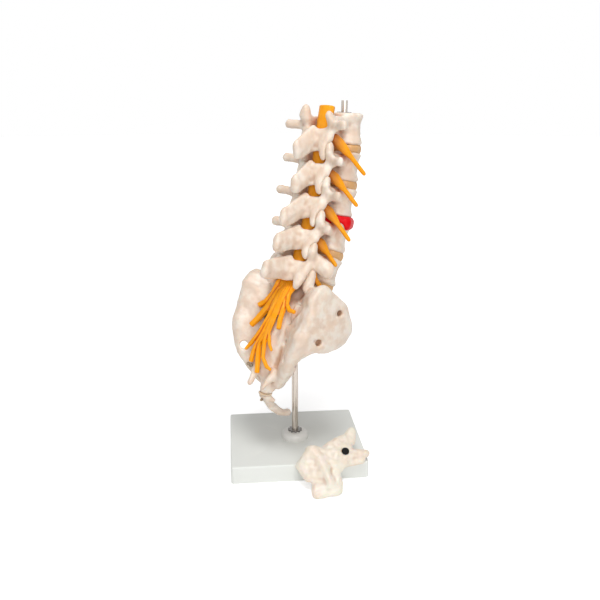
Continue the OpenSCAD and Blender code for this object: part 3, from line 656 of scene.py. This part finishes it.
class SpineStageSettings(bpy.types.PropertyGroup):
    """Camera and light"""
    place: bpy.props.FloatVectorProperty(
        name="Camera place", description="Where the camera stands",
        subtype="TRANSLATION", unit="LENGTH", default=(-0.05772, -0.63935, 0.3481))
    pitch: bpy.props.FloatProperty(
        name="Pitch", description="How far the camera looks down",
        subtype="ANGLE", default=math.radians(16.29))
    yaw: bpy.props.FloatProperty(
        name="Yaw", description="How far the camera looks to the right",
        subtype="ANGLE", default=math.radians(5.61))
    lens: bpy.props.FloatProperty(
        name="Lens", description="Focal length of the camera, in millimetres",
        default=42.0, min=10, max=300)
    key: bpy.props.FloatProperty(
        name="Key light", description="Power of the small light overhead",
        subtype="POWER", default=7.2, min=0)
    fill: bpy.props.FloatProperty(
        name="Fill light", description="Power of the large light behind the camera",
        subtype="POWER", default=7.4, min=0)
    sky: bpy.props.FloatProperty(
        name="Sky", description="Strength of the light from all round",
        default=0.34, min=0)
    floor_near: bpy.props.FloatProperty(
        name="Floor near", description="Glow of the floor by the stand, only where it is seen or mirrored",
        default=0.5, min=0)
    floor_far: bpy.props.FloatProperty(
        name="Floor far", description="Glow of the floor far off, only where it is seen or mirrored",
        default=0.9, min=0)


# Operators

class SPINE_OT_bones(bpy.types.Operator):
    """Gives the vertebrae, the sacrum, the coccyx and the loose crest their cast skin"""
    bl_idname = "spine.bones"
    bl_label = "Cast bones"

    def execute(self, context):
        settings = context.scene.spine_bone
        skin = {"cloud_scale": 90.0, "grain_scale": 1400.0, "roughness": 0.4, "bump": 0.0003, "coat": 0.15}
        finish = cast_material("cast_bone", settings.colour, settings.cloud, settings.stain,
                               settings.hollow, strength=0.8, subsurface=0.2, **skin)
        pale = cast_material("pale_cast_bone", settings.crest, settings.cloud, settings.colour,
                             settings.hollow, strength=0.6, subsurface=0.35, **skin)
        dura = bpy.data.objects["cast_dura_mater"]
        nerves = [piece for piece in bpy.data.objects if piece.name.startswith(("cast_nerve", "cast_dura"))]
        for number, node in enumerate(VERTEBRAE + SACRAL_BONES + ["sacral_crest"]):
            vertebra = node in VERTEBRAE
            crest = node == "sacral_crest"
            crease = settings.crease * (1.0 if vertebra else SACRAL_CREASE_SHARE)
            piece = remeshed(node, settings.voxel, crease)
            mesh = piece.data
            if vertebra:
                soften(mesh, settings.rounds, settings.swell)
            else:
                soften(mesh, settings.rounds // 2, SACRAL_SWELL)
            high = settings.relief * (CREST_RELIEF_SHARE if crest else 1.0)
            relief(mesh, [(size, high * share) for size, share in BONE_RELIEF], SEED_STEP * number)
            if node == "vertebra_l1":
                washer = vertices_of(frame["nodes"]["upper_lock_washer"].data).mean(axis=0) / MM
                knobs(mesh, Matrix(), [(*washer, *WASHER_SEAT)])
            if node == "sacrum":
                knobs(mesh, SACRAL_FRAME, SACRAL_MARKS)
            # For the painted shade in the hollows, partly the cast's antiqued tone
            store_hollows(mesh, rounds=50, depth=0.0017)
            # For the painted bounce light and shade near the nerves on the vertebrae and near the dural sac
            # on the sacrum
            if vertebra:
                store_tint(mesh, [(nerves, settings.tint_reach)])
            elif node == "sacrum":
                store_tint(mesh, [([dura], 2 * settings.tint_reach)])
            else:
                stand_clear(mesh)
            dress(piece, [node], pale if crest else finish)
        return {"FINISHED"}


class SPINE_OT_discs(bpy.types.Operator):
    """Gives the discs their soft plastic skin"""
    bl_idname = "spine.discs"
    bl_label = "Discs"

    def execute(self, context):
        settings = context.scene.spine_soft
        # The last share or shade of each colour is its painted shade in the hollows
        plain = rubber_material("disc_plastic", settings.disc, cloud=1.15, stain=0.9, hollow=0.6)
        pad = rubber_material("pad_plastic", settings.pad, cloud=1.1, stain=0.95, hollow=0.7)
        red = list(settings.bulge)
        bulging = cast_material("bulge_plastic", red, shaded(red, 1.1, 0.01), shaded(red, 0.8),
                                shaded(red, 0.6), strength=0.4, cloud_scale=90.0, grain_scale=1500.0,
                                roughness=0.4, bump=0.0001, shine=0.12)
        for node in TAN_DISCS + ["coccyx_disc"]:
            self.cover(node, "disc", pad if node == "coccyx_disc" else plain, crease=0.0, rounds=4)
        self.cover("disc_l3_l4", "bulging_disc", bulging, crease=BULGE_CREASE, rounds=16)
        return {"FINISHED"}

    def cover(self, node, slot, finish, crease, rounds):
        piece = remeshed(node, SOFT_VOXEL, crease)
        soften(piece.data, rounds)
        store_hollows(piece.data, rounds=20, depth=0.002)
        dress(piece, [node], finish)


class SPINE_OT_nerves(bpy.types.Operator):
    """Gives the dural sac, the fan of strands and the spinal nerves their soft skin"""
    bl_idname = "spine.nerves"
    bl_label = "Nerves"

    def execute(self, context):
        settings = context.scene.spine_soft
        colour = settings.nerve
        # The last colour is the painted shade between the strands and in the other hollows of the nerves
        finish = cast_material("nerve_plastic", colour, shaded(colour, 1.02, 0.02), shaded(colour, 0.92),
                               settings.nerve_groove_shade, strength=0.85, cloud_scale=120.0, grain_scale=1600.0,
                               roughness=0.36, bump=0.0001, subsurface=0.1, shine=0.22)
        bones = [frame["nodes"][name] for name in VERTEBRAE]
        for node in ["dura_mater", "cauda_equina"] + NERVES:
            if node == "cauda_equina":
                piece = remeshed(node, FAN_VOXEL)
                soften(piece.data, rounds=10)
                strand_grooves(piece.data, settings.strand_height, STRAND_WIDTH)
                soften(piece.data, rounds=2)
            else:
                piece = remeshed(node, SOFT_VOXEL, NERVE_CREASE)
                soften(piece.data, rounds=14)
            relief(piece.data, NERVE_RELIEF, NERVE_SEED)
            # Painted shade on the dural sac near the bones, and on the nerves near the bones and at their
            # roots by the sac
            if node == "dura_mater":
                store_tint(piece.data, [(bones, settings.bone_reach)])
            elif node in NERVES:
                dura = bpy.data.objects["cast_dura_mater"]
                store_tint(piece.data, [(bones, settings.bone_reach), ([dura], settings.root_reach)])
            # For the painted shade in the hollows and between the strands
            store_hollows(piece.data, rounds=16, depth=0.0009)
            dress(piece, [node], finish)
        return {"FINISHED"}


class SPINE_OT_stand(bpy.types.Operator):
    """Finishes the base plate, its collar and the rod"""
    bl_idname = "spine.stand"
    bl_label = "Stand"

    def execute(self, context):
        settings = context.scene.spine_stand
        plate = moulded_material("plate_plastic", settings.plate, cloud_scale=12.0)
        collar = moulded_material("collar_plastic", settings.collar, cloud_scale=30.0)
        rod = metal_material("polished_rod", settings.rod, roughness=0.27, rim=ROD_RIM)
        turned_piece("base_plate", plate, settings.edge, angle=25)
        turned_piece("rod_collar", collar, angle=40)
        turned_piece("support_rod", rod, angle=40)
        return {"FINISHED"}


class SPINE_OT_fasteners(bpy.types.Operator):
    """Finishes the washers, the catch, the magnet and the coccyx screw"""
    bl_idname = "spine.fasteners"
    bl_label = "Fasteners"

    def execute(self, context):
        settings = context.scene.spine_stand
        dark = metal_material("blackened_steel", settings.washer, roughness=0.35)
        steel = metal_material("plain_steel", STEEL, roughness=0.3)
        black = metal_material("dark_magnet", MAGNET, roughness=0.55, metallic=0.0, rim=MAGNET_RIM)
        turned_piece("lower_lock_washer", dark, WASHER_EDGE)
        turned_piece("upper_lock_washer", dark, WASHER_EDGE)
        turned_piece("crest_catch", steel, CATCH_EDGE)
        turned_piece("coccyx_screw", steel, SCREW_EDGE)
        turned_piece("crest_magnet", black, MAGNET_EDGE)
        return {"FINISHED"}


class SPINE_OT_stage(bpy.types.Operator):
    """Sets the floor, the soft lights, the white surroundings and the camera"""
    bl_idname = "spine.stage"
    bl_label = "Stage"

    def execute(self, context):
        scene = context.scene
        settings = scene.spine_stage
        bpy.ops.mesh.primitive_circle_add(vertices=96, radius=FLOOR_RADIUS, fill_type="NGON")
        floor = context.active_object
        floor.name = "floor"
        floor.data.materials.append(floor_material(settings.floor_near, settings.floor_far))

        scene.world = scene.world or bpy.data.worlds.new("soft_white")
        scene.world.use_nodes = True
        tree = scene.world.node_tree
        background = tree.nodes["Background"].inputs
        background["Color"].default_value = (1, 1, 1, 1)
        level = remap(tree, seen_or_mirrored(tree), 0.0, 1.0, settings.sky, 1.0)
        tree.links.new(level, background["Strength"])

        self.add_light(scene, "key_light", KEY_PLACE, KEY_SIZE, settings.key)
        self.add_light(scene, "fill_light", FILL_PLACE, FILL_SIZE, settings.fill)

        camera = bpy.data.objects.new("camera", bpy.data.cameras.new("camera"))
        scene.collection.objects.link(camera)
        camera.location = settings.place
        camera.rotation_euler = (math.pi / 2 - settings.pitch, 0, -settings.yaw)
        camera.data.lens = settings.lens
        scene.camera = camera
        scene.view_settings.view_transform = "Standard"
        return {"FINISHED"}

    def add_light(self, scene, name, place, size, power):
        light = bpy.data.lights.new(name, "AREA")
        light.size = size
        light.energy = power
        lamp = bpy.data.objects.new(name, light)
        scene.collection.objects.link(lamp)
        lamp.location = place
        lamp.rotation_euler = (LIGHTS_AIM - Vector(place)).to_track_quat("-Z", "Y").to_euler()


class SPINE_PT_panel(bpy.types.Panel):
    """Lists the steps of the spine model"""
    bl_idname = "SPINE_PT_panel"
    bl_label = "Lumbar spine"
    bl_space_type = "VIEW_3D"
    bl_region_type = "UI"
    bl_category = "Spine"

    def draw(self, context):
        scene = context.scene
        for title, settings, steps in (
                ("Bones", scene.spine_bone, (SPINE_OT_bones,)),
                ("Soft parts", scene.spine_soft, (SPINE_OT_discs, SPINE_OT_nerves)),
                ("Stand", scene.spine_stand, (SPINE_OT_stand, SPINE_OT_fasteners)),
                ("Stage", scene.spine_stage, (SPINE_OT_stage,))):
            box = self.layout.box()
            box.label(text=title)
            for name in settings.__annotations__:
                box.prop(settings, name)
            for step in steps:
                box.operator(step.bl_idname)


SETTINGS = {"spine_bone": SpineBoneSettings, "spine_soft": SpineSoftSettings,
            "spine_stand": SpineStandSettings, "spine_stage": SpineStageSettings}
CLASSES = [*SETTINGS.values(), SPINE_OT_bones, SPINE_OT_discs, SPINE_OT_nerves, SPINE_OT_stand,
           SPINE_OT_fasteners, SPINE_OT_stage, SPINE_PT_panel]


def register():
    for made in CLASSES:
        bpy.utils.register_class(made)
    for name, settings in SETTINGS.items():
        setattr(bpy.types.Scene, name, bpy.props.PointerProperty(type=settings))


def unregister():
    for name in SETTINGS:
        delattr(bpy.types.Scene, name)
    for made in reversed(CLASSES):
        bpy.utils.unregister_class(made)


def main():
    register()
    bpy.ops.spine.stage()
    bpy.ops.spine.stand()
    bpy.ops.spine.fasteners()
    bpy.ops.spine.discs()
    bpy.ops.spine.nerves()
    bpy.ops.spine.bones()


if __name__ == "__main__":
    main()
